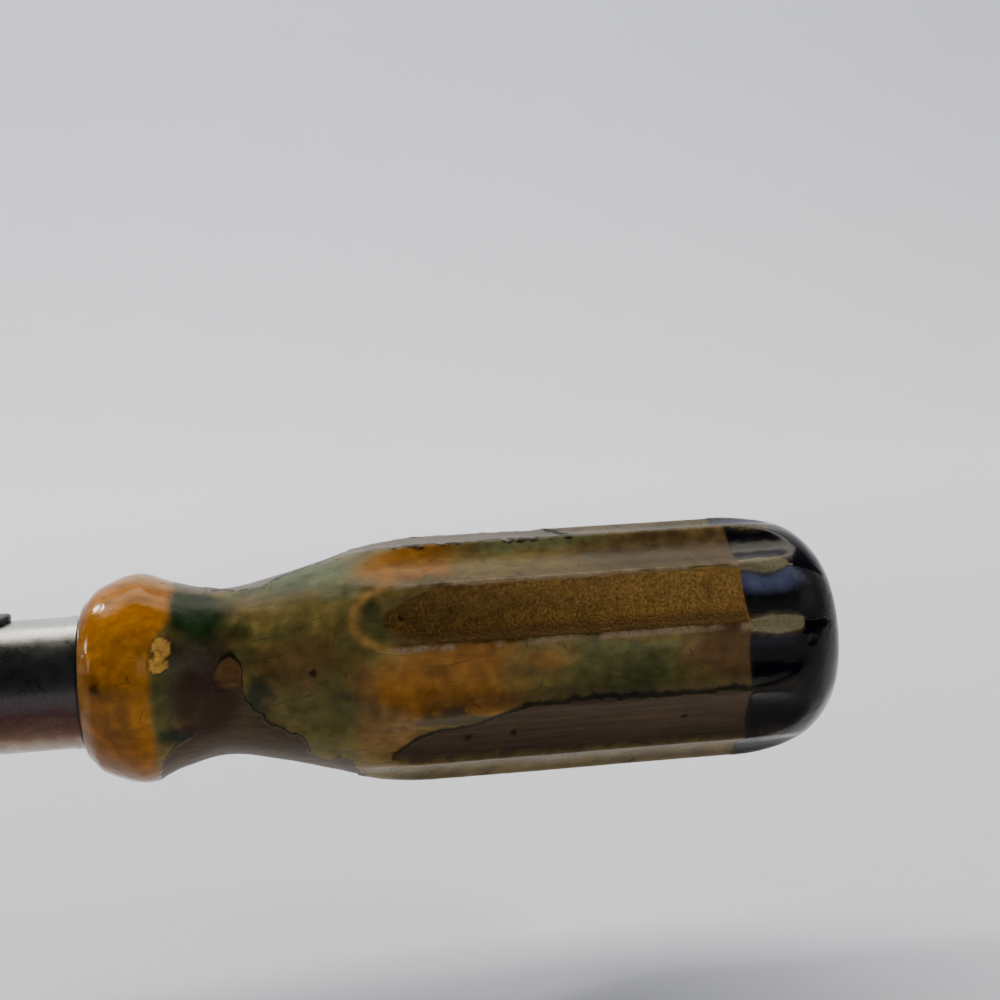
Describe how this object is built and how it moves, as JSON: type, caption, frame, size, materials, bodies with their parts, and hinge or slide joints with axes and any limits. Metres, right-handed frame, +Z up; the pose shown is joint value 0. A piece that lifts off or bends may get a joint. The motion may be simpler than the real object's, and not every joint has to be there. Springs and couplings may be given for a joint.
{
  "type": "ratchet screwdriver",
  "caption": "Reversible ratchet screwdriver: fluted lacquered wooden handle with front bead and waist, steel ferrule with a sliding thumb shifter, round shank and cabinet tip.",
  "frame": {"origin": "on the tool's axis at the front face of the nose, where the blade's shank comes out", "axes": "+X along the tool from the blade's tip to the handle's butt, +Z up through the shifter button, with a flute facing straight down"},
  "size_m": [0.2401, 0.031, 0.031],
  "materials": {
    "lacquered_wood": "worn glossy amber and dark lacquer with gold paint over bare wood",
    "ferrule_steel": "polished, browned with age",
    "blade_steel": "ground and polished, lightly browned",
    "black_steel": "black oxide, satin",
    "black_fibre": "matt black pressed fibre",
    "machined_steel": "turned, oiled",
    "hard_steel": "hardened, oil blacked",
    "spring_steel": "blued spring temper",
    "bronze": "sintered, oiled"
  },
  "bodies": {
    "handle": {"handle": "lacquered_wood", "tang_pin": "hard_steel", "ferrule": "ferrule_steel", "ferrule_washer": "black_fibre", "ferrule_screws": "hard_steel", "nose_cap": "ferrule_steel", "nose_bush": "bronze", "ratchet_body": "machined_steel", "thrust_ball": "hard_steel", "thrust_washer": "hard_steel", "pawl_pin": "hard_steel", "detent_ball": "hard_steel", "detent_spring": "spring_steel"},
    "blade": {"blade": "blade_steel", "wheel_spacer": "machined_steel", "ratchet_wheel": "hard_steel", "wheel_pin": "hard_steel", "retaining_ring": "spring_steel"},
    "pawl": {"reversing_pawl": "hard_steel", "pawl_spring": "spring_steel"},
    "shifter": {"shifter_button": "black_steel", "shifter_plate": "hard_steel", "shifter_rivet": "hard_steel"}
  },
  "joints": [
    {"name": "blade_spin", "type": "hinge", "parent": "handle", "child": "blade", "pos_m": [0, 0, 0], "axis": [1, 0, 0], "continuous": true},
    {"name": "shifter_slide", "type": "slide", "parent": "handle", "child": "shifter", "axis": [1, 0, 0], "range_m": [-0.0025, 0.0025]},
    {"name": "pawl_rock", "type": "hinge", "parent": "handle", "child": "pawl", "pos_m": [0.016, 0, 0.0055], "axis": [1, 0, 0], "range_deg": [-10, 10]}
  ],
  "couplings": [
    {"joint": "pawl_rock", "follows": "shifter_slide", "rad_per_m": 69.8}
  ]
}
